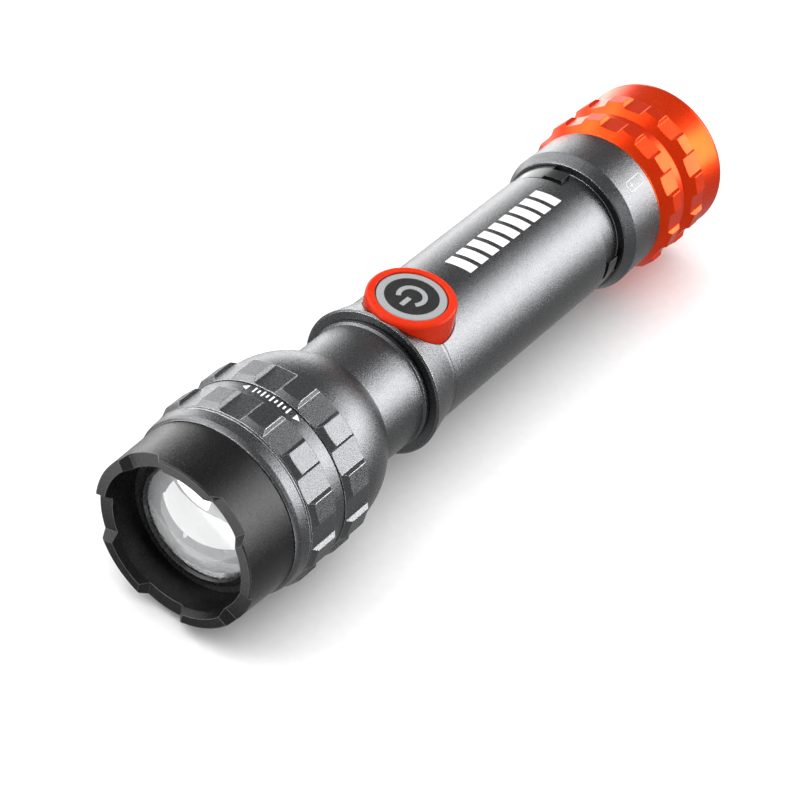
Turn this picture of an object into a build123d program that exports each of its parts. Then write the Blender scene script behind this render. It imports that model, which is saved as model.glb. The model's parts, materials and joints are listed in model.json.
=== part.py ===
from build123d import *
import math
import os

# Twist-zoom tactical flashlight, millimetres. The axis of the body is X and the beam leaves along +X.
# The origin is the centre of the tail cap's flat end face, and the button faces +Z.

# --- driving dimensions -------------------------------------------------------------------------
TOTAL = 165.0           # tail face to the tips of the bezel's teeth
COLLAR_FRONT = 105.0    # front face of the barrel's collar
BARREL_R = 14.0         # handle outside radius
BORE_R = 11.1           # battery bore radius
NECK_R = 13.2           # polished neck that the head slides on
SLIDE_GAP = 0.05        # radial running fit of the neck, the threads and the seals
ZOOM_TRAVEL = 10.0      # how far the head draws back onto the neck

# head
BEZEL_TIP_R = 17.5
BEZEL_BACK_R = 17.85
BEZEL_BACK = 152.7      # seam between the bezel and the head sleeve
CUP_R = 14.75           # inside of the bezel in front of the lens
NOTCHES = 5
NOTCH_DEPTH = 1.65
NOTCH_PHASE = 51.5      # degrees from +Y towards +Z
LENS_APEX = 161.6
LENS_CURVE = 18.0       # radius of the lens's domed face
LENS_R = 13.6
LENS_FLANGE_R = 14.5
LENS_BACK = 152.4
LENS_RECESS = 1.4        # depth of the seat that the lens and its gasket fill
SKIRT = 6.6             # length of the bezel's skirt inside the sleeve
SKIRT_R = 16.2
SLEEVE_BACK = COLLAR_FRONT + ZOOM_TRAVEL + 4.2
SLEEVE_BACK_R = 14.0
CHAMBER_R = 15.0        # inside of the sleeve, around the light engine
BEARING_FRONT = 125.0   # front end of the bore that slides on the neck
SEAL_GROOVE_R = 14.75
BELL_FRONT_R = 18.4
BELL_MIDDLE = (124.3, 17.1)
BAND_R = 18.6           # smooth band between the two grip rings
NOSE_R = 18.75          # foot of the cone at the front of each grip ring
WAIST_R = 18.3          # bottom of the fine grooves in front of the rings
GROOVE = 0.2            # width of those grooves
FLANGE_R = 18.7
FLANGE_LIP_R = 18.3

# grip rings, on the head and on the tail cap
PADS = 12               # high pads on each ring, with a low flat between each two
PAD_PHASE = 53.0        # degrees from +Y towards +Z
HIGH_HALF = 6.2         # half angle of a high pad
WALL_ANGLE = 1.8        # angle taken by each sloped wall
STEP = 0.7              # how far a high pad stands above a low one
HEAD_RING_R = 19.6      # to the corners of the high pads
HEAD_RING_BACKS = (142.0, 131.9)
HEAD_RING_LENGTH = 6.9
HEAD_CONE = 1.4
TAIL_RING_R = 17.4
TAIL_RING_BACKS = (17.5, 8.2)
TAIL_RING_LENGTHS = (6.0, 6.1)
TAIL_CONE = 2.5
TAIL_BAND_R = 15.85
TAIL_NOSE_R = 15.5

# barrel
COLLAR_R = 15.6
TAPER_BACK = 97.5
SEAM_LINE = 96.8        # fine turned line behind the taper
SEAM_LINE_HALF = 0.1    # its half width and its depth
CLIP_FRONT = 42.5       # front wall of the clip's groove
CLIP_BACK = 36.4
CLIP_GROOVE_R = 12.75
FLARE_R = 15.8
FLARE_BACK = 33.9
SEAM = 24.0             # barrel's end shoulder, where the tail cap begins
THREAD_R = 13.4
THREAD_END = 10.2
NECK_SOCKET_R = 11.65
NECK_SOCKET_END = 99.4

# button
BUTTON_X = 95.9
RING_R = 8.9
RING_TOP = 16.4
RING_HOLE_R = 7.05
SEAT_R = 12.5           # the ring's curved seat, measured from the body's axis
SHELF = 13.2            # height of the ring's inner shelf
CAP_R = 6.85
CAP_TOP = 16.25
CAP_BOTTOM = 14.7
DISC_R = 5.3
DISC_DEPTH = 0.6        # depth of the recess that the disc is glued into
STEM_R = 2.0
PLUNGER_TOP = 11.55
SWITCH_FLOOR = 7.8      # top of the switch's board
SWITCH_HEIGHT = 2.6

# battery bay and tail
CELL_R = 10.5
CELL_BACK = 9.1
CELL_FRONT = 78.6
WRAP = 0.2
MAGNET_R = 10.0
CAP_END_R = 16.9
CAP_ROUND = 1.8         # rounding at the cap's end
CAP_FLOOR = 1.4         # thickness of the cap's end wall
BOARD_SEAT = 4.2        # where the contact board rests
CAP_THREAD_START = 9.6
TAIL_BOARD_R = 11.6

# light engine and driver
NECK_FRONT = 134.0
PLATE_BACK = 131.0
NECK_BORE_R = 10.2
SCREW_Y = 7.5
WIRE_Z = 6.0
WIRE_HOLE_R = 0.8
LED_BOARD = 1.6
STOP_WIDTH = 1.2
DRIVER_FRONT = 84.7
HOLDER_FRONT = 99.2

# pocket clip
STRAP_IN = CLIP_GROOVE_R + 0.1
STRAP_OUT = 13.9
STRAP_START = 111.0     # degrees from +Y towards +Z
STRAP_END = 348.0
TONGUE = 17.0           # degrees that each narrower end reaches further
BLADE_ANGLE = 223.0
BLADE_HALF = 4.5

os.makedirs("parts", exist_ok=True)


def save(piece, name):
    """Label one finished piece and write it."""
    piece.part.label = name
    export_step(piece.part, f"parts/{name}.step")


def polar(radius, degrees):
    """A point in the plane across the body, measured from +Y towards +Z."""
    angle = math.radians(degrees)
    return (radius * math.cos(angle), radius * math.sin(angle))


def lens_face(radius):
    """Where the lens's domed face stands at a given radius."""
    return LENS_APEX - LENS_CURVE + math.sqrt(LENS_CURVE**2 - radius**2)


def grip_ring(corner_r, nose_r, back, length, cone):
    """A grip ring: a cone at its front, then high and low flats in turn, sloped down at its back."""
    front = back + length
    pitch = 360 / PADS
    low_r = corner_r - STEP
    corners = []
    for pad in range(PADS):
        middle = PAD_PHASE + pad * pitch
        corners.append(polar(corner_r, middle - HIGH_HALF))
        corners.append(polar(corner_r, middle + HIGH_HALF))
        corners.append(polar(low_r, middle + HIGH_HALF + WALL_ANGLE))
        corners.append(polar(low_r, middle + pitch - HIGH_HALF - WALL_ANGLE))
    with BuildPart() as ring:
        with BuildSketch(Plane.YZ.offset(back)):
            Polygon(*corners, align=None)
        extrude(amount=length)
        with BuildSketch(Plane.XZ):
            with BuildLine():
                Polyline(
                    (back, 0), (back, low_r), (back + STEP, corner_r), (front - cone, corner_r),
                    (front, nose_r), (front, 0), close=True,
                )
            make_face()
        revolve(axis=Axis.X, mode=Mode.INTERSECT)
    return ring.part


# --- head: bezel, lens and their seals ----------------------------------------------------------
notch_top = (BEZEL_TIP_R - 1) * math.sin(math.radians(17.75))
notch_floor = (BEZEL_TIP_R - 1) * math.sin(math.radians(12.75))
skirt_back = BEZEL_BACK - SKIRT
lens_shoulder = LENS_BACK - LENS_RECESS

with BuildPart() as bezel:
    with BuildSketch(Plane.XZ):
        with BuildLine():
            Polyline(
                (TOTAL, CUP_R + 0.65), (TOTAL, BEZEL_TIP_R - 0.25), (TOTAL - 0.25, BEZEL_TIP_R),
                (BEZEL_BACK + 0.2, BEZEL_BACK_R), (BEZEL_BACK, BEZEL_BACK_R - 0.2),
                (BEZEL_BACK, SKIRT_R), (skirt_back, SKIRT_R), (skirt_back, 12.4), (lens_shoulder, 12.4),
                (lens_shoulder, CUP_R), (TOTAL - 1.5, CUP_R), close=True,
            )
        make_face()
    revolve(axis=Axis.X)
    for notch in range(NOTCHES):
        across = polar(1, NOTCH_PHASE + notch * 360 / NOTCHES)
        with BuildSketch(Plane((0, 0, 0), x_dir=(1, 0, 0), z_dir=(0, across[0], across[1]))):
            with BuildLine():
                Polyline(
                    (TOTAL - NOTCH_DEPTH, -notch_floor), (TOTAL - NOTCH_DEPTH, notch_floor),
                    (TOTAL, notch_top), (TOTAL + 1, notch_top), (TOTAL + 1, -notch_top),
                    (TOTAL, -notch_top), close=True,
                )
            make_face()
        extrude(amount=BEZEL_BACK_R + 2, mode=Mode.SUBTRACT)
save(bezel, "bezel")

with BuildPart() as lens:
    with BuildSketch(Plane.XZ):
        with BuildLine():
            ThreePointArc(
                (LENS_APEX, 0), (lens_face(LENS_R / 2), LENS_R / 2), (lens_face(LENS_R), LENS_R),
            )
            Polyline(
                (lens_face(LENS_R), LENS_R), (LENS_BACK + 2, LENS_R), (LENS_BACK + 2, LENS_FLANGE_R),
                (LENS_BACK, LENS_FLANGE_R), (LENS_BACK, 0), (LENS_APEX, 0),
            )
        make_face()
    revolve(axis=Axis.X)
save(lens, "lens")

with BuildPart() as lens_retaining_ring:
    with BuildSketch(Plane.XZ):
        with BuildLine():
            Polyline(
                (158.2, 11.9), (157.65, 11.5), (155.8, 13.75), (154.5, 13.9), (154.5, 14.7),
                (157.2, 14.7), (157.2, 13.3), (157.6, 13.2), close=True,
            )
        make_face()
    revolve(axis=Axis.X)
save(lens_retaining_ring, "lens_retaining_ring")

with BuildPart() as lens_gasket:
    with BuildSketch(Plane.XZ):
        with Locations(((LENS_BACK + lens_shoulder) / 2, 13.6)):
            Circle(0.68)
    revolve(axis=Axis.X)
save(lens_gasket, "lens_gasket")

# --- head: the sleeve that is turned to zoom ----------------------------------------------------
ring_front, ring_back = HEAD_RING_BACKS
band_back = ring_back + HEAD_RING_LENGTH + GROOVE
rim_back = ring_front + HEAD_RING_LENGTH + GROOVE
rim_front = rim_back + 0.3
bearing_r = NECK_R + SLIDE_GAP
seal_x = SLEEVE_BACK + 2.8
seal_half = 0.8
pocket_back = skirt_back - 0.2
pocket_r = SKIRT_R + SLIDE_GAP

with BuildPart() as head_sleeve:
    with BuildSketch(Plane.XZ):
        with BuildLine():
            Polyline(
                (ring_back, BELL_FRONT_R), (ring_back, WAIST_R), (band_back, WAIST_R), (band_back, BAND_R),
                (ring_front, BAND_R), (ring_front, WAIST_R), (rim_back, WAIST_R), (rim_back, FLANGE_R),
                (rim_front, FLANGE_R), (rim_front, WAIST_R), (rim_front + GROOVE, WAIST_R),
                (rim_front + GROOVE, FLANGE_R), (BEZEL_BACK - 1.0, FLANGE_R - 0.15),
                (BEZEL_BACK - 0.3, FLANGE_LIP_R), (BEZEL_BACK, FLANGE_LIP_R - 0.3),
                (BEZEL_BACK, pocket_r), (pocket_back, pocket_r),
                (pocket_back, CHAMBER_R), (BEARING_FRONT, CHAMBER_R), (BEARING_FRONT, bearing_r),
                (seal_x + seal_half, bearing_r), (seal_x + seal_half, SEAL_GROOVE_R),
                (seal_x - seal_half, SEAL_GROOVE_R), (seal_x - seal_half, bearing_r),
                (SLEEVE_BACK, bearing_r), (SLEEVE_BACK, SLEEVE_BACK_R),
            )
            ThreePointArc((SLEEVE_BACK, SLEEVE_BACK_R), BELL_MIDDLE, (ring_back, BELL_FRONT_R))
        make_face()
    revolve(axis=Axis.X)
    for back in HEAD_RING_BACKS:
        add(grip_ring(HEAD_RING_R, NOSE_R, back, HEAD_RING_LENGTH, HEAD_CONE))
    with BuildSketch(Plane.YZ.offset(BEARING_FRONT)):
        Circle(CHAMBER_R)
    extrude(amount=BEZEL_BACK - BEARING_FRONT, mode=Mode.SUBTRACT)
    with BuildSketch(Plane.YZ.offset(pocket_back)):
        Circle(pocket_r)
    extrude(amount=BEZEL_BACK - pocket_back, mode=Mode.SUBTRACT)
save(head_sleeve, "head_sleeve")

with BuildPart() as zoom_seal:
    with BuildSketch(Plane.XZ):
        with Locations((seal_x, NECK_R + SLIDE_GAP + 0.7)):
            Circle(0.7)
    revolve(axis=Axis.X)
save(zoom_seal, "zoom_seal")

# --- light engine: neck tube, LED board, LED and its wiring -------------------------------------
stop_x = BEARING_FRONT + 0.3

with BuildPart() as neck_tube:
    with BuildSketch(Plane.XZ):
        with BuildLine():
            Polyline(
                (NECK_FRONT, 0), (NECK_FRONT, NECK_R - 0.4), (NECK_FRONT - 0.4, NECK_R),
                (stop_x + STOP_WIDTH + 0.05, NECK_R), (stop_x + STOP_WIDTH + 0.05, 12.6),
                (stop_x - 0.05, 12.6),
                (stop_x - 0.05, NECK_R), (106.5, NECK_R), (106.1, 13.55), (105.3, 13.55),
                (COLLAR_FRONT, 13.3), (COLLAR_FRONT, NECK_SOCKET_R - 0.05),
                (NECK_SOCKET_END, NECK_SOCKET_R - 0.05), (NECK_SOCKET_END, NECK_BORE_R),
                (PLATE_BACK, NECK_BORE_R),
                (PLATE_BACK, 0), close=True,
            )
        make_face()
    revolve(axis=Axis.X)
    with BuildSketch(Plane.YZ.offset(PLATE_BACK)):
        with Locations((SCREW_Y, 0), (-SCREW_Y, 0)):
            Circle(0.85)
        with Locations((0, WIRE_Z), (0, -WIRE_Z)):
            Circle(WIRE_HOLE_R)
    extrude(amount=NECK_FRONT - PLATE_BACK, mode=Mode.SUBTRACT)
save(neck_tube, "neck_tube")

with BuildPart() as head_stop_ring:
    with BuildSketch(Plane.YZ.offset(stop_x)):
        Circle(14.6)
        Circle(12.65, mode=Mode.SUBTRACT)
        with Locations((14.0, 0)):
            Rectangle(4, 2.4, mode=Mode.SUBTRACT)
    extrude(amount=STOP_WIDTH)
save(head_stop_ring, "head_stop_ring")

with BuildPart() as led_board:
    with BuildSketch(Plane.YZ.offset(NECK_FRONT)):
        Circle(10.0)
        with Locations((SCREW_Y, 0), (-SCREW_Y, 0)):
            Circle(0.85, mode=Mode.SUBTRACT)
        with Locations((0, WIRE_Z), (0, -WIRE_Z)):
            Circle(WIRE_HOLE_R, mode=Mode.SUBTRACT)
    extrude(amount=LED_BOARD)
save(led_board, "led_board")

board_front = NECK_FRONT + LED_BOARD

with BuildPart() as led_base:
    with BuildSketch(Plane.YZ.offset(board_front)):
        RectangleRounded(5.0, 5.0, 0.4)
    extrude(amount=0.8)
save(led_base, "led_base")

with BuildPart() as led_dome:
    with BuildSketch(Plane.XZ):
        with BuildLine():
            ThreePointArc((board_front + 2.6, 0), (board_front + 2.07, 1.27), (board_front + 0.8, 1.8))
            Polyline((board_front + 0.8, 1.8), (board_front + 0.8, 0), (board_front + 2.6, 0))
        make_face()
    revolve(axis=Axis.X)
save(led_dome, "led_dome")

with BuildPart() as board_screws:
    with BuildSketch(Plane.YZ.offset(board_front)):
        with Locations((SCREW_Y, 0), (-SCREW_Y, 0)):
            Circle(1.5)
    extrude(amount=1.1)
    with BuildSketch(Plane.YZ.offset(board_front)):
        with Locations((SCREW_Y, 0), (-SCREW_Y, 0)):
            Circle(0.8)
    extrude(amount=-4.0)
    with BuildSketch(Plane.YZ.offset(board_front + 1.1)):
        with Locations((SCREW_Y, 0), (-SCREW_Y, 0)):
            Rectangle(1.6, 0.35)
            Rectangle(0.35, 1.6)
    extrude(amount=-0.5, mode=Mode.SUBTRACT)
save(board_screws, "board_screws")

holder_back = DRIVER_FRONT + 0.1


def led_wire(side):
    """One insulated lead from the driver's holder to the LED board."""
    with BuildPart() as wire:
        with BuildSketch(Plane.YZ.offset(DRIVER_FRONT)):
            with Locations((0, side * WIRE_Z)):
                Circle(0.55)
        extrude(amount=board_front + 0.3 - DRIVER_FRONT)
    return wire


# --- barrel -------------------------------------------------------------------------------------
with BuildPart() as switch_pocket:
    with BuildSketch(Plane.XY.offset(6)):
        with Locations((BUTTON_X, 0)):
            Circle(RING_R + 0.12)
    extrude(amount=14)
    with BuildSketch(Plane.YZ.offset(BUTTON_X - 15)):
        Circle(SEAT_R)
    extrude(amount=30, mode=Mode.SUBTRACT)

with BuildPart() as barrel:
    with BuildSketch(Plane.XZ):
        with BuildLine():
            Polyline(
                (COLLAR_FRONT, NECK_SOCKET_R), (COLLAR_FRONT, COLLAR_R - 0.35),
                (COLLAR_FRONT - 0.35, COLLAR_R), (TAPER_BACK, BARREL_R),
                (SEAM_LINE + SEAM_LINE_HALF, BARREL_R), (SEAM_LINE, BARREL_R - SEAM_LINE_HALF),
                (SEAM_LINE - SEAM_LINE_HALF, BARREL_R), (CLIP_FRONT + 0.15, BARREL_R),
                (CLIP_FRONT, BARREL_R - 0.15), (CLIP_FRONT, CLIP_GROOVE_R), (CLIP_BACK, CLIP_GROOVE_R),
                (CLIP_BACK, 14.45), (CLIP_BACK - 0.15, 14.6), (FLARE_BACK, FLARE_R),
                (SEAM + 0.25, FLARE_R - 0.2), (SEAM, FLARE_R - 0.45), (SEAM, THREAD_R), (22.5, THREAD_R),
                (22.5, 12.4), (21.3, 12.4), (21.3, THREAD_R), (THREAD_END + 0.4, THREAD_R),
                (THREAD_END, THREAD_R - 0.4), (THREAD_END, BORE_R), (NECK_SOCKET_END, BORE_R),
                (NECK_SOCKET_END, NECK_SOCKET_R), close=True,
            )
        make_face()
    revolve(axis=Axis.X)
    add(switch_pocket.part, mode=Mode.SUBTRACT)
    with BuildSketch(Plane.XY.offset(6)):
        with Locations((BUTTON_X, 0)):
            Circle(STEM_R + 1.2)
    extrude(amount=12, mode=Mode.SUBTRACT)
save(barrel, "barrel")

# --- switch -------------------------------------------------------------------------------------
with BuildPart() as switch_ring:
    with BuildSketch(Plane.XY.offset(6)):
        with Locations((BUTTON_X, 0)):
            Circle(RING_R)
            Circle(5.4, mode=Mode.SUBTRACT)
    extrude(amount=RING_TOP - 6)
    with BuildSketch(Plane.XY.offset(SHELF)):
        with Locations((BUTTON_X, 0)):
            Circle(RING_HOLE_R)
    extrude(amount=5, mode=Mode.SUBTRACT)
    top_edges = switch_ring.faces().sort_by(Axis.Z)[-1].edges()
    fillet(top_edges.sort_by(SortBy.LENGTH)[-1], 0.9)
    fillet(switch_ring.faces().sort_by(Axis.Z)[-1].edges().sort_by(SortBy.LENGTH)[0], 0.3)
    with BuildSketch(Plane.YZ.offset(BUTTON_X - 15)):
        Circle(SEAT_R + 0.05)
    extrude(amount=30, mode=Mode.SUBTRACT)
save(switch_ring, "switch_ring")

with BuildPart() as button_gasket:
    with BuildSketch(Plane.XY.offset(SHELF)):
        with Locations((BUTTON_X, 0)):
            Circle(RING_HOLE_R - 0.05)
            Circle(STEM_R + 0.3, mode=Mode.SUBTRACT)
    extrude(amount=0.6)
save(button_gasket, "button_gasket")

with BuildPart() as button_cap:
    with BuildSketch(Plane.XY.offset(CAP_BOTTOM)):
        with Locations((BUTTON_X, 0)):
            Circle(CAP_R)
    extrude(amount=CAP_TOP - CAP_BOTTOM)
    fillet(button_cap.faces().sort_by(Axis.Z)[-1].edges(), 0.3)
    with BuildSketch(Plane.XY.offset(CAP_TOP)):
        with Locations((BUTTON_X, 0)):
            Circle(DISC_R + 0.03)
    extrude(amount=-DISC_DEPTH, mode=Mode.SUBTRACT)
    with BuildSketch(Plane.XY.offset(CAP_BOTTOM)):
        with Locations((BUTTON_X, 0)):
            Circle(STEM_R)
    extrude(amount=PLUNGER_TOP + 0.05 - CAP_BOTTOM)
save(button_cap, "button_cap")

with BuildPart() as button_disc:
    with BuildSketch(Plane.XY.offset(CAP_TOP - DISC_DEPTH)):
        with Locations((BUTTON_X, 0)):
            Circle(DISC_R)
    extrude(amount=DISC_DEPTH - 0.05)
    fillet(button_disc.faces().sort_by(Axis.Z)[-1].edges(), 0.12)
save(button_disc, "button_disc")

with BuildPart() as tact_switch:
    with BuildSketch(Plane.XY.offset(SWITCH_FLOOR)):
        with Locations((BUTTON_X, 0)):
            RectangleRounded(6.0, 6.0, 0.4)
    extrude(amount=SWITCH_HEIGHT)
    with BuildSketch(Plane.XY.offset(SWITCH_FLOOR + SWITCH_HEIGHT)):
        with Locations((BUTTON_X, 0)):
            Circle(1.75)
    extrude(amount=-2.0, mode=Mode.SUBTRACT)
save(tact_switch, "tact_switch")

with BuildPart() as switch_plunger:
    with BuildSketch(Plane.XY.offset(PLUNGER_TOP)):
        with Locations((BUTTON_X, 0)):
            Circle(1.65)
    extrude(amount=-2.1)
save(switch_plunger, "switch_plunger")

with BuildPart() as switch_board:
    with BuildSketch(Plane.XY.offset(SWITCH_FLOOR)):
        with Locations((92.1, 0)):
            RectangleRounded(13.8, 14.0, 0.8)
        with Locations((98.0, 0)):
            Circle(0.8, mode=Mode.SUBTRACT)
    extrude(amount=-1.0)
save(switch_board, "switch_board")

# --- driver -------------------------------------------------------------------------------------
with BuildPart() as driver_holder:
    with BuildSketch(Plane.YZ.offset(holder_back)):
        Circle(BORE_R - 0.1)
        Rectangle(13.0, 11.5, mode=Mode.SUBTRACT)
        with Locations((0, SWITCH_FLOOR - 1.0 + 5.0)):
            Rectangle(30, 10, mode=Mode.SUBTRACT)
        with Locations((0, -WIRE_Z)):
            Circle(0.8, mode=Mode.SUBTRACT)
    extrude(amount=HOLDER_FRONT - holder_back)
    with BuildSketch(Plane.YZ.offset(holder_back)):
        with Locations((0, WIRE_Z)):
            Rectangle(1.6, 2.2)
    extrude(amount=HOLDER_FRONT - holder_back, mode=Mode.SUBTRACT)
save(driver_holder, "driver_holder")

with BuildPart() as driver_board:
    with BuildSketch(Plane.YZ.offset(DRIVER_FRONT - 1.6)):
        Circle(BORE_R - 0.15)
    extrude(amount=1.6)
save(driver_board, "driver_board")

for side, name in ((1, "led_wire_positive"), (-1, "led_wire_negative")):
    save(led_wire(side), name)


def coil(start, height, pitch, radius, wire_r):
    """A coil spring about the body's axis, standing forward from the plane at start."""
    with BuildPart() as spring:
        with BuildLine() as route:
            Helix(pitch, height, radius, center=(start, 0, 0), direction=(1, 0, 0))
        with BuildSketch(Plane(route.line @ 0, z_dir=route.line % 0)):
            Circle(wire_r)
        sweep(is_frenet=True)
    return spring


save(coil(CELL_FRONT + 1.4, 2.7, 1.1, 3.2, 0.38), "driver_spring")

# --- battery ------------------------------------------------------------------------------------
with BuildPart() as battery_can:
    with BuildSketch(Plane.YZ.offset(CELL_BACK)):
        Circle(CELL_R)
    extrude(amount=CELL_FRONT - CELL_BACK)
    fillet(battery_can.edges().filter_by(GeomType.CIRCLE), 0.6)
save(battery_can, "battery_can")

with BuildPart() as battery_wrap:
    with BuildSketch(Plane.XZ):
        with BuildLine():
            Polyline(
                (CELL_BACK + 0.8, CELL_R + 0.01), (CELL_BACK + 0.8, CELL_R + WRAP),
                (CELL_FRONT - 0.8, CELL_R + WRAP), (CELL_FRONT - 0.8, CELL_R + 0.01), close=True,
            )
        make_face()
    revolve(axis=Axis.X)
save(battery_wrap, "battery_wrap")

with BuildPart() as battery_insulator:
    with BuildSketch(Plane.YZ.offset(CELL_FRONT)):
        Circle(9.4)
        Circle(4.3, mode=Mode.SUBTRACT)
    extrude(amount=0.3)
save(battery_insulator, "battery_insulator")

with BuildPart() as battery_positive_cap:
    with BuildSketch(Plane.YZ.offset(CELL_FRONT)):
        Circle(4.0)
    extrude(amount=1.0)
    fillet(battery_positive_cap.faces().sort_by(Axis.X)[-1].edges(), 0.3)
save(battery_positive_cap, "battery_positive_cap")

# --- pocket clip --------------------------------------------------------------------------------
def strap(back, width, start, end):
    """A stretch of the clip's strap, as a curved bar in the groove."""
    with BuildPart() as bar:
        with BuildSketch(Plane.YZ.offset(back)):
            with BuildLine():
                outer = CenterArc((0, 0), STRAP_OUT, start, end - start)
                inner = CenterArc((0, 0), STRAP_IN, start, end - start)
                Line(outer @ 0, inner @ 0)
                Line(outer @ 1, inner @ 1)
            make_face()
        extrude(amount=width)
    return bar.part


with BuildPart() as clip_blade:
    across = polar(1, BLADE_ANGLE)
    level = Plane((0, 0, 0), x_dir=(1, 0, 0), z_dir=(0, -across[1], across[0]))
    with BuildSketch(level):
        with BuildLine():
            Polyline(
                (37.2, 13.2), (42.2, 13.2), (42.2, 14.4), (46.0, 16.0), (52.0, 16.9), (70.0, 15.6),
                (77.5, 14.35), (79.5, 14.35), (84.5, 16.4), (84.1, 17.35), (79.2, 15.35),
                (77.8, 15.35), (70.2, 16.6), (52.0, 17.95), (45.4, 17.0), (40.6, 14.9), (37.2, 14.3),
                close=True,
            )
        make_face()
    extrude(amount=BLADE_HALF, both=True)

with BuildPart() as pocket_clip:
    add(strap(CLIP_BACK + 0.3, 5.5, STRAP_START, STRAP_END))
    add(strap(CLIP_BACK + 1.5, 3.1, STRAP_START - TONGUE, STRAP_END + TONGUE))
    add(clip_blade.part)
save(pocket_clip, "pocket_clip")

# --- tail cap -----------------------------------------------------------------------------------
ring_near, ring_far = TAIL_RING_BACKS
near_front = ring_near + TAIL_RING_LENGTHS[0]
far_front = ring_far + TAIL_RING_LENGTHS[1]
thread_bore = THREAD_R + SLIDE_GAP
corner_in = CAP_ROUND * (1 - math.sqrt(0.5))

with BuildPart() as tail_cap:
    with BuildSketch(Plane.XZ):
        with BuildLine():
            Polyline(
                (0, CAP_END_R - CAP_ROUND), (0, 0), (CAP_FLOOR, 0), (CAP_FLOOR, MAGNET_R + 0.1),
                (BOARD_SEAT, MAGNET_R + 0.1), (BOARD_SEAT, TAIL_BOARD_R),
                (CAP_THREAD_START, TAIL_BOARD_R), (CAP_THREAD_START, thread_bore),
                (SEAM - 0.1, thread_bore), (SEAM - 0.1, FLARE_R - 0.6), (SEAM - 0.3, FLARE_R - 0.4),
                (near_front, TAIL_NOSE_R - 0.2), (near_front, TAIL_NOSE_R), (ring_near, TAIL_NOSE_R),
                (ring_near, TAIL_BAND_R), (far_front + 0.5, TAIL_BAND_R), (far_front + 0.5, 14.9),
                (far_front, 14.9), (far_front, TAIL_NOSE_R), (ring_far, TAIL_NOSE_R),
                (ring_far, TAIL_BAND_R + 0.05), (CAP_ROUND, CAP_END_R),
            )
            ThreePointArc(
                (CAP_ROUND, CAP_END_R), (corner_in, CAP_END_R - corner_in), (0, CAP_END_R - CAP_ROUND),
            )
        make_face()
    revolve(axis=Axis.X)
    for back, length in zip(TAIL_RING_BACKS, TAIL_RING_LENGTHS):
        add(grip_ring(TAIL_RING_R, TAIL_NOSE_R, back, length, TAIL_CONE))
    with BuildSketch(Plane.YZ.offset(CAP_THREAD_START)):
        Circle(thread_bore)
    extrude(amount=SEAM - CAP_THREAD_START, mode=Mode.SUBTRACT)
    with BuildSketch(Plane.YZ.offset(BOARD_SEAT)):
        Circle(TAIL_BOARD_R)
    extrude(amount=CAP_THREAD_START - BOARD_SEAT, mode=Mode.SUBTRACT)
save(tail_cap, "tail_cap")

with BuildPart() as tail_seal:
    with BuildSketch(Plane.XZ):
        with Locations((21.9, 12.92)):
            Circle(0.5)
    revolve(axis=Axis.X)
save(tail_seal, "tail_seal")

with BuildPart() as tail_magnet:
    with BuildSketch(Plane.YZ.offset(CAP_FLOOR + 0.05)):
        Circle(MAGNET_R)
    extrude(amount=2.6)
    fillet(tail_magnet.edges().filter_by(GeomType.CIRCLE), 0.3)
save(tail_magnet, "tail_magnet")

with BuildPart() as tail_contact_board:
    with BuildSketch(Plane.YZ.offset(BOARD_SEAT)):
        Circle(TAIL_BOARD_R - 0.2)
    extrude(amount=1.0)
save(tail_contact_board, "tail_contact_board")

with BuildPart() as tail_retaining_ring:
    with BuildSketch(Plane.YZ.offset(BOARD_SEAT + 1.05)):
        Circle(TAIL_BOARD_R - 0.1)
        Circle(9.2, mode=Mode.SUBTRACT)
        with Locations((0, 9.6), (0, -9.6)):
            Rectangle(1.6, 1.6, mode=Mode.SUBTRACT)
    extrude(amount=1.4)
save(tail_retaining_ring, "tail_retaining_ring")

save(coil(5.7, 2.9, 1.4, 5.0, 0.45), "tail_spring")
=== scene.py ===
import json
import math

import bmesh
import bpy
from mathutils import Matrix, Vector


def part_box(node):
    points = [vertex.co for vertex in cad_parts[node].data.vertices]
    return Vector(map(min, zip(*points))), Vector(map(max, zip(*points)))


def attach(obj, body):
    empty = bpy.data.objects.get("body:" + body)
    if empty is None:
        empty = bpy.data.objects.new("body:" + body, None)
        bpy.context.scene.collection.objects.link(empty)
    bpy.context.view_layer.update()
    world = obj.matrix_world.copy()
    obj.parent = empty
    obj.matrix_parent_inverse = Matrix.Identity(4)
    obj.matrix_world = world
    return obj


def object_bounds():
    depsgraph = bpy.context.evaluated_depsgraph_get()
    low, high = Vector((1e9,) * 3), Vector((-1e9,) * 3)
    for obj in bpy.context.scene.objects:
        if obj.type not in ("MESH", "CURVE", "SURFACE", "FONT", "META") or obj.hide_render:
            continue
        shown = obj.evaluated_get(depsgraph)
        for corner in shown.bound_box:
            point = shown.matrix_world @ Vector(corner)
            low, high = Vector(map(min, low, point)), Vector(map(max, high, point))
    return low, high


MM = 0.001

# Camera: where it stands in millimetres, and its angles in degrees.
CAMERA_AT = (448.3, 186.8, 339.7)
CAMERA_AZIMUTH = 27.661     # the side that it looks from, from +X towards +Y
CAMERA_ELEVATION = 41.220   # how far above the horizon it looks from
CAMERA_ROLL = 11.971        # how far its right side is tipped up
CAMERA_LENS = 122.85
CAMERA_SENSOR = 36.0

# Floor: how far it reaches each way, in metres.
FLOOR_REACH = 3.0

# The CAD surfaces that carry the marks, in millimetres. X runs along the axis.
BARREL_R = 14.0
BAND_R = 18.6
BAND_X = 140.0
REAR_SLEEVE_BACK = 24.25
REAR_SLEEVE_BACK_R = 15.6
REAR_SLEEVE_FRONT = 33.9
REAR_SLEEVE_FRONT_R = 15.8
SEAM_X = 96.8               # fine turned line round the barrel

# Printed marks: millimetres along the axis and round the surface, and degrees from +Y towards +Z.
PRINT_LIFT = 0.03
PRINT_SINK = 0.06
PRINT_STEPS = 8             # flat strips that follow the curve under each shape

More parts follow.
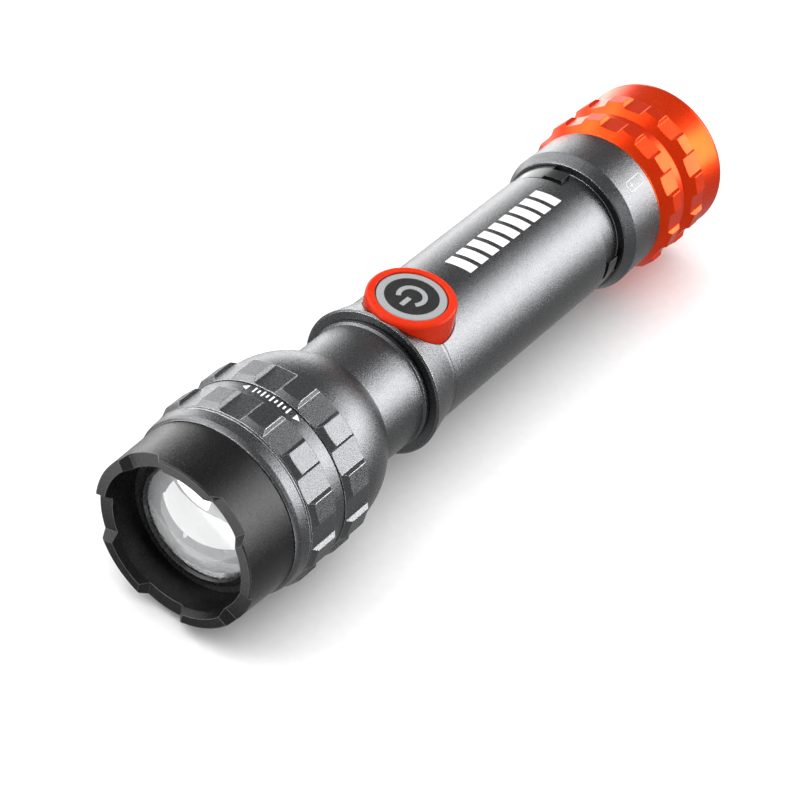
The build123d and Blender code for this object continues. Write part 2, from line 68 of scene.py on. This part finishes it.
BAR_COUNT = 9
BAR_WIDTH = 2.5
BAR_PITCH = 3.75
BAR_HEIGHT = 5.6
BAR_SLANT = 0.9
BAR_MIDDLE_X = 63.2
BAR_ANGLE = 91.0

TICKS_EACH_SIDE = 4
TICK_PITCH = 0.95
TICK_THICKNESS = 0.34
LONG_TICK = 1.5
SHORT_TICK = 0.9
ARROW_BASE = 5.3
ARROW_TIP = 6.5
ARROW_BLUNT = 0.001         # the tip's width, which keeps four separate corners
ARROW_HALF = 0.7
SCALE_ANGLE = 89.5

BATTERY_BACK = 25.5
BATTERY_FRONT = 31.1
BATTERY_HALF = 1.12
BATTERY_CORNER = 0.35
BATTERY_LINE = 0.11
PLUS_X = 29.75
PLUS_HALF = 0.55
BATTERY_ANGLE = 53.8

# The raised on/off symbol on the button, in millimetres from the disc's centre.
POWER_OUTER_R = 3.05
POWER_INNER_R = 2.05
POWER_ARC_START = 50.0      # degrees from +X, where the bar points
POWER_ARC_SWEEP = 260.0
POWER_ARC_STEPS = 40
POWER_BAR_START = 0.75
POWER_BAR_END = 3.5
POWER_BAR_HALF = 0.5
POWER_LIFT = 0.16
POWER_SINK = 0.05
POWER_ROUNDING = 0.06

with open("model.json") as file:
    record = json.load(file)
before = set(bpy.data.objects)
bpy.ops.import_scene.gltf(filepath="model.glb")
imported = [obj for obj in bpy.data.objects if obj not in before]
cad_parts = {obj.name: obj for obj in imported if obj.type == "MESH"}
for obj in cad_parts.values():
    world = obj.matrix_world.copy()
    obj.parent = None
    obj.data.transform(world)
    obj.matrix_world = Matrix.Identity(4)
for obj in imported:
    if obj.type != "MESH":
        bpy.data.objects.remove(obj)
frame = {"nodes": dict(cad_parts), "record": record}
cad_low, cad_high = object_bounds()
scene = bpy.context.scene


# --- node helpers -------------------------------------------------------------------------------
class Graph:
    """A material's node tree, with short calls for the nodes that the finishes share."""

    def __init__(self, name):
        self.material = bpy.data.materials.new(name)
        self.material.use_nodes = True
        self.tree = self.material.node_tree
        self.shader = self.tree.nodes["Principled BSDF"]
        self.coords = self.add("ShaderNodeTexCoord").outputs["Object"]

    def add(self, kind, **values):
        node = self.tree.nodes.new(kind)
        for key, value in values.items():
            setattr(node, key, value)
        return node

    def link(self, source, target):
        self.tree.links.new(source, target)

    def base(self, **values):
        """Sets constants on the shader. An underscore stands for a space in the socket's name."""
        for key, value in values.items():
            self.shader.inputs[key.replace("_", " ")].default_value = value

    def colour(self, source):
        self.link(source, self.shader.inputs["Base Color"])

    def roughness(self, source):
        self.link(source, self.shader.inputs["Roughness"])

    def noise(self, size_mm, detail=2.0, roughness=0.5, stretch=(1, 1, 1)):
        """A noise whose blobs are about size_mm across, drawn out by stretch along each axis."""
        mapping = self.add("ShaderNodeMapping")
        mapping.inputs["Scale"].default_value = [1 / (size_mm * MM * s) for s in stretch]
        self.link(self.coords, mapping.inputs["Vector"])
        node = self.add("ShaderNodeTexNoise")
        node.inputs["Scale"].default_value = 1.0
        node.inputs["Detail"].default_value = detail
        node.inputs["Roughness"].default_value = roughness
        self.link(mapping.outputs["Vector"], node.inputs["Vector"])
        return node.outputs["Fac"]

    def ramp(self, source, low, high, at_low=0.0, at_high=1.0):
        """Maps source from the range low to high onto at_low to at_high, clamped."""
        node = self.add("ShaderNodeMapRange")
        node.inputs["From Min"].default_value = low
        node.inputs["From Max"].default_value = high
        node.inputs["To Min"].default_value = at_low
        node.inputs["To Max"].default_value = at_high
        self.link(source, node.inputs["Value"])
        return node.outputs["Result"]

    def mix(self, factor, first, second):
        """A colour that goes from first to second as factor goes from 0 to 1."""
        node = self.add("ShaderNodeMix", data_type="RGBA")
        self.link(factor, node.inputs["Factor"])
        for value, name in ((first, "A"), (second, "B")):
            socket = [s for s in node.inputs if s.name == name and s.type == "RGBA"][0]
            if isinstance(value, tuple):
                socket.default_value = (*value, 1.0)
            else:
                self.link(value, socket)
        return [s for s in node.outputs if s.type == "RGBA"][0]

    def math(self, operation, *operands):
        """A Math node on one or two operands, each a socket or a number."""
        node = self.add("ShaderNodeMath", operation=operation)
        for index, value in enumerate(operands):
            if isinstance(value, (int, float)):
                node.inputs[index].default_value = value
            else:
                self.link(value, node.inputs[index])
        return node.outputs["Value"]

    def edge(self, radius_mm):
        """0 on faces, rising to 1 on sharp edges, with the rounded normal that finds them."""
        bevel = self.add("ShaderNodeBevel", samples=6)
        bevel.inputs["Radius"].default_value = radius_mm * MM
        geometry = self.add("ShaderNodeNewGeometry")
        dot = self.add("ShaderNodeVectorMath", operation="DOT_PRODUCT")
        self.link(bevel.outputs["Normal"], dot.inputs[0])
        self.link(geometry.outputs["Normal"], dot.inputs[1])
        return self.ramp(dot.outputs["Value"], 0.97, 0.80), bevel.outputs["Normal"]

    def edge_highlight(self, edges, most, body, paler):
        """The body's colour, mixed towards a paler one on edges, by the share most at the edge: a painted
        highlight along the edges.
        """
        return self.mix(self.ramp(edges, 0.0, 1.0, 0.0, most), body, paler)

    def bump(self, height, strength, distance_mm, normal=None):
        node = self.add("ShaderNodeBump")
        node.inputs["Strength"].default_value = strength
        node.inputs["Distance"].default_value = distance_mm * MM
        self.link(height, node.inputs["Height"])
        if normal is not None:
            self.link(normal, node.inputs["Normal"])
        self.link(node.outputs["Normal"], self.shader.inputs["Normal"])


# --- materials ----------------------------------------------------------------------------------
def away_from_seam(g):
    """0 on the fine turned line behind the collar, which stays dark, and 1 elsewhere."""
    split = g.add("ShaderNodeSeparateXYZ")
    g.link(g.coords, split.inputs["Vector"])
    gap = g.math("ABSOLUTE", g.math("SUBTRACT", split.outputs["X"], SEAM_X * MM))
    return g.ramp(gap, 0.35 * MM, 0.50 * MM)


def blasted_metal(name, dark, light, edge_highlight, roughness, grain_mm, strength, metallic, shine_level):
    """Bead-blasted anodised metal: speckled colour, grainy shine and smoother edges, with a paler colour
    painted on the edges as a highlight.
    """
    g = Graph(name)
    g.base(Metallic=metallic, IOR=1.5, Specular_IOR_Level=shine_level)
    fine = g.noise(grain_mm, detail=2.0, roughness=0.7)
    coarse = g.noise(grain_mm * 2.0, detail=1.0)
    grain = g.math("ADD", g.math("MULTIPLY", fine, 0.8), g.math("MULTIPLY", coarse, 0.2))
    cloud = g.noise(7.0)
    edges, rounded = g.edge(0.22)
    edges = g.math("MULTIPLY", edges, away_from_seam(g))
    speckled = g.mix(g.ramp(grain, 0.38, 0.62), dark, light)
    clouded = g.mix(g.ramp(cloud, 0.35, 0.70, 0.0, 0.10), speckled, dark)
    # Edges take a paler colour, a painted highlight, kept off the turned seam line.
    g.colour(g.mix(edges, clouded, edge_highlight))
    shine = g.ramp(grain, 0.35, 0.65, roughness - 0.06, roughness + 0.08)
    g.roughness(g.math("SUBTRACT", shine, g.math("MULTIPLY", edges, 0.12)))
    g.bump(grain, strength, 0.12, rounded)
    return g.material


def gunmetal():
    return blasted_metal(
        "gunmetal",
        dark=(0.100, 0.102, 0.105),
        light=(0.160, 0.163, 0.168),
        # Pale grey painted on the edges as a highlight.
        edge_highlight=(0.72, 0.72, 0.73),
        roughness=0.25,
        grain_mm=0.16,
        strength=0.50,
        metallic=1.0,
        shine_level=0.5,
    )


def black_metal():
    return blasted_metal(
        "black_metal",
        dark=(0.0008, 0.0008, 0.0009),
        light=(0.004, 0.004, 0.0042),
        # Grey painted on the edges as a highlight.
        edge_highlight=(0.22, 0.22, 0.225),
        roughness=0.21,
        grain_mm=0.18,
        strength=0.65,
        metallic=0.0,
        shine_level=0.34,
    )


def orange_metal():
    """Polished orange anodising: deep red where it is dark and amber where light strikes it, with amber
    painted on its edges as a highlight.
    """
    g = Graph("orange_metal")
    g.base(Metallic=0.85, IOR=1.5, Specular_IOR_Level=0.3)
    grain = g.noise(0.14, roughness=0.6)
    cloud = g.noise(9.0)
    edges, rounded = g.edge(0.2)
    body = g.mix(g.ramp(cloud, 0.3, 0.7), (0.90, 0.040, 0.004), (0.96, 0.060, 0.005))
    # Amber painted on the edges as a highlight.
    g.colour(g.edge_highlight(edges, 0.7, body, (1.0, 0.26, 0.04)))
    g.roughness(g.ramp(grain, 0.3, 0.7, 0.25, 0.34))
    g.bump(grain, 0.15, 0.03, rounded)
    return g.material


def orange_plastic():
    """Gloss moulding with a faint orange peel."""
    g = Graph("orange_plastic")
    g.base(IOR=1.5, Specular_IOR_Level=0.08)
    peel = g.noise(1.1, detail=1.0)
    edges, rounded = g.edge(0.12)
    body = g.mix(g.ramp(g.noise(5.0), 0.3, 0.7), (0.54, 0.020, 0.003), (0.61, 0.028, 0.004))
    # Orange painted on the edges as a highlight.
    g.colour(g.edge_highlight(edges, 0.8, body, (1.0, 0.26, 0.02)))
    g.roughness(g.ramp(peel, 0.3, 0.7, 0.22, 0.34))
    g.bump(peel, 0.05, 0.05, rounded)
    return g.material


def gloss_black(name, shade, roughness, metallic=0.0):
    """Smooth black coating or moulding with fine handling marks in its shine."""
    g = Graph(name)
    g.base(Metallic=metallic, IOR=1.5)
    marks = g.noise(0.9, detail=3.0, stretch=(6, 1, 1))
    edges, rounded = g.edge(0.15)
    dark = (shade, shade, shade * 1.04)
    light = (shade * 1.9, shade * 1.9, shade * 2)
    # A paler shade painted on the edges as a highlight.
    edge_highlight_shade = shade * 5 + 0.02
    body = g.mix(g.ramp(marks, 0.3, 0.8), dark, light)
    g.colour(g.edge_highlight(edges, 0.6, body, (edge_highlight_shade, edge_highlight_shade, edge_highlight_shade)))
    g.roughness(g.ramp(marks, 0.3, 0.7, roughness, roughness + 0.08))
    g.bump(marks, 0.04, 0.02, rounded)
    return g.material


def satin_plastic(name, shade, roughness, grain_mm):
    """Moulded plastic, rubber, wrap or board with an even fine spark texture."""
    g = Graph(name)
    g.base(IOR=1.49)
    spark = g.noise(grain_mm, roughness=0.65)
    paler = tuple(min(1.0, c * 1.14 + 0.004) for c in shade)
    darker = tuple(c * 0.88 for c in shade)
    g.colour(g.mix(g.ramp(spark, 0.32, 0.68), darker, paler))
    g.roughness(g.ramp(spark, 0.3, 0.7, roughness, roughness + 0.12))
    g.bump(spark, 0.15, 0.03)
    return g.material


def plain_metal(name, colour, roughness):
    """Bare or plated metal with turning lines round the axis."""
    g = Graph(name)
    g.base(Metallic=1.0)
    lines = g.noise(0.12, stretch=(1, 14, 14))
    paler = tuple(min(1.0, c * 1.12) for c in colour)
    darker = tuple(c * 0.85 for c in colour)
    g.colour(g.mix(g.ramp(lines, 0.3, 0.7), darker, paler))
    g.roughness(g.ramp(lines, 0.3, 0.7, roughness, roughness + 0.1))
    g.bump(lines, 0.1, 0.02)
    return g.material


def lens_glass():
    """The moulded lens: clear, slightly hazy glass with a strong shine."""
    g = Graph("lens_glass")
    g.base(IOR=1.49, Roughness=0.02, Coat_Weight=1.0, Coat_IOR=2.2, Coat_Roughness=0.02)
    haze = g.noise(3.0, detail=1.0)
    g.colour(g.mix(g.ramp(haze, 0.3, 0.7), (0.84, 0.85, 0.86), (0.90, 0.91, 0.92)))
    g.link(g.ramp(haze, 0.3, 0.7, 0.68, 0.76), g.shader.inputs["Transmission Weight"])
    return g.material


def led_phosphor():
    """The emitter's yellowish dome, unlit."""
    g = Graph("led_phosphor")
    g.base(IOR=1.45, Roughness=0.25)
    g.colour(g.mix(g.ramp(g.noise(0.5), 0.3, 0.7), (0.62, 0.60, 0.50), (0.74, 0.71, 0.58)))
    return g.material


def printed_white():
    """Screen-printed ink, slightly uneven."""
    g = Graph("printed_white")
    g.base(IOR=1.45)
    ink = g.noise(0.35, detail=3.0)
    g.colour(g.mix(g.ramp(ink, 0.3, 0.7), (0.82, 0.82, 0.82), (0.93, 0.93, 0.93)))
    g.roughness(g.ramp(ink, 0.3, 0.7, 0.45, 0.6))
    return g.material


def floor_paper():
    """White paper with a faint fibre."""
    g = Graph("floor_paper")
    g.base(Roughness=0.9)
    fibre = g.noise(2.0, detail=4.0)
    g.colour(g.mix(g.ramp(fibre, 0.3, 0.7), (0.88, 0.88, 0.88), (0.91, 0.91, 0.91)))
    return g.material


FINISHES = {
    "gunmetal": gunmetal(),
    "black_metal": black_metal(),
    "orange_metal": orange_metal(),
    "orange_plastic": orange_plastic(),
    "clip_steel": gloss_black("clip_steel", 0.012, 0.16, metallic=0.35),
    "lens_glass": lens_glass(),
    "black_plastic": gloss_black("black_plastic", 0.012, 0.22),
    "grey_plastic": satin_plastic("grey_plastic", (0.27, 0.275, 0.28), 0.42, 0.2),
    "black_gloss": gloss_black("black_gloss", 0.007, 0.34),
    "seal_rubber": satin_plastic("seal_rubber", (0.02, 0.02, 0.02), 0.5, 0.2),
    "steel": plain_metal("steel", (0.58, 0.58, 0.59), 0.25),
    "spring_plating": plain_metal("spring_plating", (0.83, 0.64, 0.30), 0.22),
    "board_white": satin_plastic("board_white", (0.80, 0.80, 0.80), 0.3, 0.3),
    "board_green": satin_plastic("board_green", (0.02, 0.16, 0.07), 0.3, 0.3),
    "led_ceramic": satin_plastic("led_ceramic", (0.78, 0.78, 0.74), 0.4, 0.2),
    "led_phosphor": led_phosphor(),
    "wire_red": satin_plastic("wire_red", (0.50, 0.02, 0.02), 0.45, 0.3),
    "wire_black": satin_plastic("wire_black", (0.02, 0.02, 0.02), 0.45, 0.3),
    "cell_wrap": satin_plastic("cell_wrap", (0.05, 0.16, 0.38), 0.25, 0.6),
    "insulator_white": satin_plastic("insulator_white", (0.75, 0.74, 0.70), 0.6, 0.3),
    "magnet_nickel": plain_metal("magnet_nickel", (0.72, 0.71, 0.68), 0.12),
    "brass": plain_metal("brass", (0.72, 0.50, 0.20), 0.25),
}
PRINTED = printed_white()


def finish_nodes():
    """Gives each CAD node the finish that the record's slot asks for."""
    for part in frame["record"]["subparts"]:
        node = frame["nodes"][part["node"]]
        node.data.materials.clear()
        node.data.materials.append(FINISHES[part["material_slot"]])


# --- mesh helpers -------------------------------------------------------------------------------
def mesh_object(name, mesh, material):
    """Turns a finished bmesh into an object in the scene."""
    data = bpy.data.meshes.new(name)
    mesh.to_mesh(data)
    mesh.free()
    data.materials.append(material)
    piece = bpy.data.objects.new(name, data)
    scene.collection.objects.link(piece)
    return piece


def close_strip(mesh, top, bottom):
    """Skins a strip all round. Each layer is a list of rows, and each row is two vertices."""
    for near in range(len(top) - 1):
        far = near + 1
        mesh.faces.new((top[near][0], top[far][0], top[far][1], top[near][1]))
        mesh.faces.new((bottom[near][0], bottom[near][1], bottom[far][1], bottom[far][0]))
        for side in (0, 1):
            mesh.faces.new((top[near][side], bottom[near][side], bottom[far][side], top[far][side]))
    for end in (0, len(top) - 1):
        mesh.faces.new((top[end][0], top[end][1], bottom[end][1], bottom[end][0]))


# --- printed marks ------------------------------------------------------------------------------
def barrel_radius(x):
    """The handle is a plain cylinder."""
    return BARREL_R


def band_radius(x):
    """So is the band between the head's grip rings."""
    return BAND_R


def rear_sleeve_radius(x):
    """The rear sleeve narrows slightly from the flare to the tail cap."""
    share = (x - REAR_SLEEVE_BACK) / (REAR_SLEEVE_FRONT - REAR_SLEEVE_BACK)
    return REAR_SLEEVE_BACK_R + share * (REAR_SLEEVE_FRONT_R - REAR_SLEEVE_BACK_R)


def on_surface(mesh, point, surface_radius, lift, middle_angle):
    """A vertex at a point (x, arc) of a round surface, raised by lift."""
    angle = math.radians(middle_angle) + point.y / surface_radius
    radius = surface_radius + lift
    return mesh.verts.new((point.x * MM, radius * math.cos(angle) * MM, radius * math.sin(angle) * MM))


def curved_patch(mesh, corners, radius, middle_angle):
    """Adds one thin solid on a round surface. Corners are four (x, arc) points."""
    a, b, c, d = [Vector(corner) for corner in corners]
    layers = []
    for lift in (PRINT_LIFT, -PRINT_SINK):
        rows = []
        for step in range(PRINT_STEPS + 1):
            share = step / PRINT_STEPS
            pair = (a.lerp(b, share), d.lerp(c, share))
            rows.append([on_surface(mesh, point, radius(point.x), lift, middle_angle) for point in pair])
        layers.append(rows)
    close_strip(mesh, *layers)


def printed_piece(name, body, shapes, radius, middle_angle):
    """One printed mark made of four-cornered shapes, riding on a body."""
    mesh = bmesh.new()
    for corners in shapes:
        curved_patch(mesh, corners, radius, middle_angle)
    bmesh.ops.recalc_face_normals(mesh, faces=mesh.faces)
    piece = mesh_object(name, mesh, PRINTED)
    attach(piece, body)


def handle_bars():
    """A row of slanted white bars along the handle, behind the button."""
    half = BAR_WIDTH / 2
    lean = BAR_SLANT / 2
    low = -BAR_HEIGHT / 2
    high = BAR_HEIGHT / 2
    first = BAR_MIDDLE_X - (BAR_COUNT - 1) / 2 * BAR_PITCH
    shapes = []
    for index in range(BAR_COUNT):
        back = first + index * BAR_PITCH - half
        front = first + index * BAR_PITCH + half
        shapes.append(((back - lean, low), (back + lean, high), (front + lean, high), (front - lean, low)))
    printed_piece("handle_bars", "barrel_body", shapes, barrel_radius, BAR_ANGLE)


def zoom_scale():
    """Graduated ticks between two arrowheads on the band that is turned to zoom."""
    shapes = []
    for index in range(-TICKS_EACH_SIDE, TICKS_EACH_SIDE + 1):
        length = LONG_TICK if index % 2 == 0 else SHORT_TICK
        back = BAND_X - length / 2
        front = BAND_X + length / 2
        low = index * TICK_PITCH - TICK_THICKNESS / 2
        high = index * TICK_PITCH + TICK_THICKNESS / 2
        shapes.append(((back, low), (back, high), (front, high), (front, low)))
    for side in (-1, 1):
        base = side * ARROW_BASE
        tip = side * ARROW_TIP
        blunt = side * (ARROW_TIP + ARROW_BLUNT)
        back = BAND_X - ARROW_HALF
        front = BAND_X + ARROW_HALF
        shapes.append(((back, base), (BAND_X, tip), (BAND_X, blunt), (front, base)))
    printed_piece("zoom_scale", "head", shapes, band_radius, SCALE_ANGLE)


def stroke(start, end):
    """Four corners of one straight line of the battery mark, with square ends."""
    a = Vector(start)
    b = Vector(end)
    along = (b - a).normalized() * BATTERY_LINE / 2
    side = Vector((-along.y, along.x))
    return (a - along - side, a - along + side, b + along + side, b + along - side)


def battery_mark():
    """A thin battery outline with cut corners, and a plus near its front."""
    back = BATTERY_BACK
    front = BATTERY_FRONT
    half = BATTERY_HALF
    cut = BATTERY_CORNER
    outline = [
        (back + cut, -half),
        (front - cut, -half),
        (front, -half + cut),
        (front, half - cut),
        (front - cut, half),
        (back + cut, half),
        (back, half - cut),
        (back, -half + cut),
    ]
    shapes = [stroke(start, end) for start, end in zip(outline, outline[1:] + outline[:1])]
    shapes.append(stroke((PLUS_X - PLUS_HALF, 0), (PLUS_X + PLUS_HALF, 0)))
    shapes.append(stroke((PLUS_X, -PLUS_HALF), (PLUS_X, PLUS_HALF)))
    printed_piece("battery_mark", "barrel_body", shapes, rear_sleeve_radius, BATTERY_ANGLE)


# --- button symbol ------------------------------------------------------------------------------
def raised_strip(mesh, centre, rows):
    """A closed low solid standing on the button's disc, from pairs of side points."""
    layers = []
    for height in (POWER_LIFT, -POWER_SINK):
        layer = []
        for row in rows:
            layer.append([mesh.verts.new(centre + Vector((x, y, height)) * MM) for x, y in row])
        layers.append(layer)
    close_strip(mesh, *layers)


def power_mark():
    """The raised on/off symbol in the middle of the button."""
    low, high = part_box("button_disc")
    centre = Vector(((low.x + high.x) / 2, 0, high.z))
    arc = []
    for step in range(POWER_ARC_STEPS + 1):
        angle = math.radians(POWER_ARC_START + POWER_ARC_SWEEP * step / POWER_ARC_STEPS)
        arc.append([(r * math.cos(angle), r * math.sin(angle)) for r in (POWER_OUTER_R, POWER_INNER_R)])
    half = POWER_BAR_HALF
    bar = [[(x, half), (x, -half)] for x in (POWER_BAR_START, POWER_BAR_END)]
    mesh = bmesh.new()
    raised_strip(mesh, centre, arc)
    raised_strip(mesh, centre, bar)
    bmesh.ops.recalc_face_normals(mesh, faces=mesh.faces)
    piece = mesh_object("power_mark", mesh, FINISHES["grey_plastic"])
    bevel = piece.modifiers.new("edges", "BEVEL")
    bevel.width = POWER_ROUNDING * MM
    bevel.segments = 2
    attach(piece, "button")


# --- studio -------------------------------------------------------------------------------------
def make_camera():
    data = bpy.data.cameras.new("camera")
    data.lens = CAMERA_LENS
    data.sensor_width = CAMERA_SENSOR
    data.clip_start = 0.01
    data.clip_end = 20.0
    camera = bpy.data.objects.new("camera", data)
    heading = Matrix.Rotation(math.radians(CAMERA_AZIMUTH + 90), 4, "Z")
    pitch = Matrix.Rotation(math.radians(90 - CAMERA_ELEVATION), 4, "X")
    roll = Matrix.Rotation(math.radians(CAMERA_ROLL), 4, "Z")
    camera.matrix_world = Matrix.Translation(Vector(CAMERA_AT) * MM) @ heading @ pitch @ roll
    scene.collection.objects.link(camera)
    scene.camera = camera


def make_floor():
    """A plain white floor that touches the lowest grip ring and isn't seen in reflections."""
    reach = FLOOR_REACH
    corners = ((-reach, -reach), (reach, -reach), (reach, reach), (-reach, reach))
    mesh = bmesh.new()
    mesh.faces.new([mesh.verts.new((x, y, cad_low.z)) for x, y in corners])
    floor = mesh_object("floor", mesh, floor_paper())
    floor.visible_glossy = False


def softbox(name, at, size, watts, diffuse=True, glossy=True, aim=(0.08, 0, 0)):
    """A rectangular light, in metres, that lights surfaces, shows in reflections, or both."""
    data = bpy.data.lights.new(name, "AREA")
    data.shape = "RECTANGLE"
    data.size, data.size_y = size
    data.energy = watts
    light = bpy.data.objects.new(name, data)
    light.location = at
    light.rotation_mode = "QUATERNION"
    light.rotation_quaternion = (Vector(aim) - Vector(at)).to_track_quat("-Z", "Y")
    light.visible_diffuse = diffuse
    light.visible_glossy = glossy
    light.visible_camera = False
    scene.collection.objects.link(light)


def make_lights():
    """The key does both. The overhead and the fill only light, and the rest only reflect."""
    softbox("key", (0.45, -0.75, 0.95), (1.0, 1.0), 6.5)
    softbox("overhead", (0.15, -0.10, 1.15), (1.6, 1.6), 7.0, glossy=False)
    softbox("fill", (0.10, 0.0, 1.60), (4.5, 4.5), 66.0, glossy=False)
    softbox("right_panel", (-0.60, 0.665, 0.40), (1.1, 0.68), 16.5, diffuse=False)
    softbox("left_panel", (-0.55, -0.80, -0.10), (1.0, 0.62), 5.5, diffuse=False)
    softbox("left_key", (0.20, -0.95, 0.45), (0.8, 0.6), 5.5, diffuse=False)
    softbox("front_panel", (0.95, -0.42, 0.16), (0.8, 0.36), 7.0, diffuse=False)
    card = Vector((0.36, -0.07, cad_low.z + MM))
    above_card = card + Vector((0, 0, 1))
    softbox("floor_card", card, (0.36, 0.30), 0.72, diffuse=False, aim=above_card)


def make_world():
    """A dim, even white surround."""
    world = bpy.data.worlds.new("studio")
    world.use_nodes = True
    background = world.node_tree.nodes["Background"]
    background.inputs["Color"].default_value = (1, 1, 1, 1)
    background.inputs["Strength"].default_value = 0.40
    scene.world = world
    scene.view_settings.view_transform = "Standard"


make_camera()
make_floor()
make_lights()
make_world()
finish_nodes()
handle_bars()
zoom_scale()
battery_mark()
power_mark()
